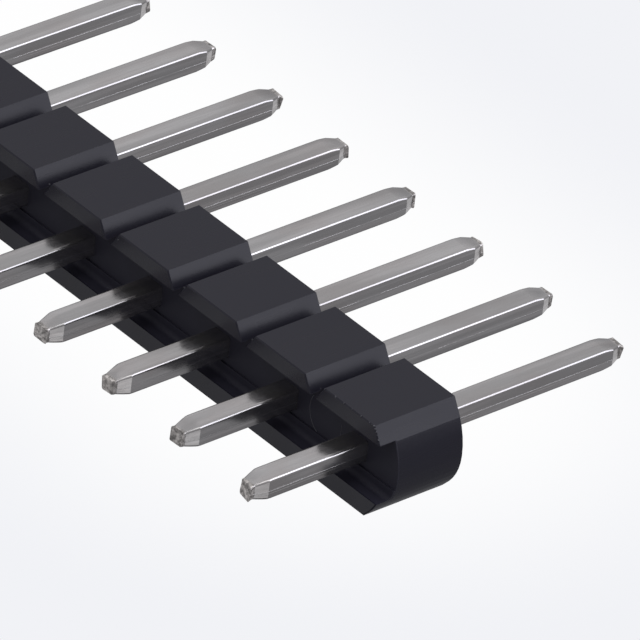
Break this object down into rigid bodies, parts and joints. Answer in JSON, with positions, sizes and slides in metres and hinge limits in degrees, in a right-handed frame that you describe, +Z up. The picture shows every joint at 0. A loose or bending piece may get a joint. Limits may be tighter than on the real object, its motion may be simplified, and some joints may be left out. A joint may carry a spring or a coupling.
{
  "type": "pin header strip",
  "caption": "Single-row straight pin header: square metal pins through a snap-apart moulded bar, with solder tails on one side and mating pins on the other.",
  "frame": {"origin": "middle of the whole part in X and Y, on the surface that the housing's flat side lies on", "axes": "+X along the row, +Y the way the mating pins point, away from the board, +Z up, out of the housing's opposite flat side"},
  "size_m": [0.102, 0.0116, 0.0025],
  "materials": {
    "housing": "black glass-filled moulding with a faint satin sheen",
    "pins": "tin plating, drawn along the wire, with bare sheared ends"
  },
  "bodies": {
    "root": {"housing": "housing", "pin_01": "pins", "pin_02": "pins", "pin_03": "pins", "pin_04": "pins", "pin_05": "pins", "pin_06": "pins", "pin_07": "pins", "pin_08": "pins", "pin_09": "pins", "pin_10": "pins", "pin_11": "pins", "pin_12": "pins", "pin_13": "pins", "pin_14": "pins", "pin_15": "pins", "pin_16": "pins", "pin_17": "pins", "pin_18": "pins", "pin_19": "pins", "pin_20": "pins", "pin_21": "pins", "pin_22": "pins", "pin_23": "pins", "pin_24": "pins", "pin_25": "pins", "pin_26": "pins", "pin_27": "pins", "pin_28": "pins", "pin_29": "pins", "pin_30": "pins", "pin_31": "pins", "pin_32": "pins", "pin_33": "pins", "pin_34": "pins", "pin_35": "pins", "pin_36": "pins", "pin_37": "pins", "pin_38": "pins", "pin_39": "pins", "pin_40": "pins"}
  },
  "joints": []
}
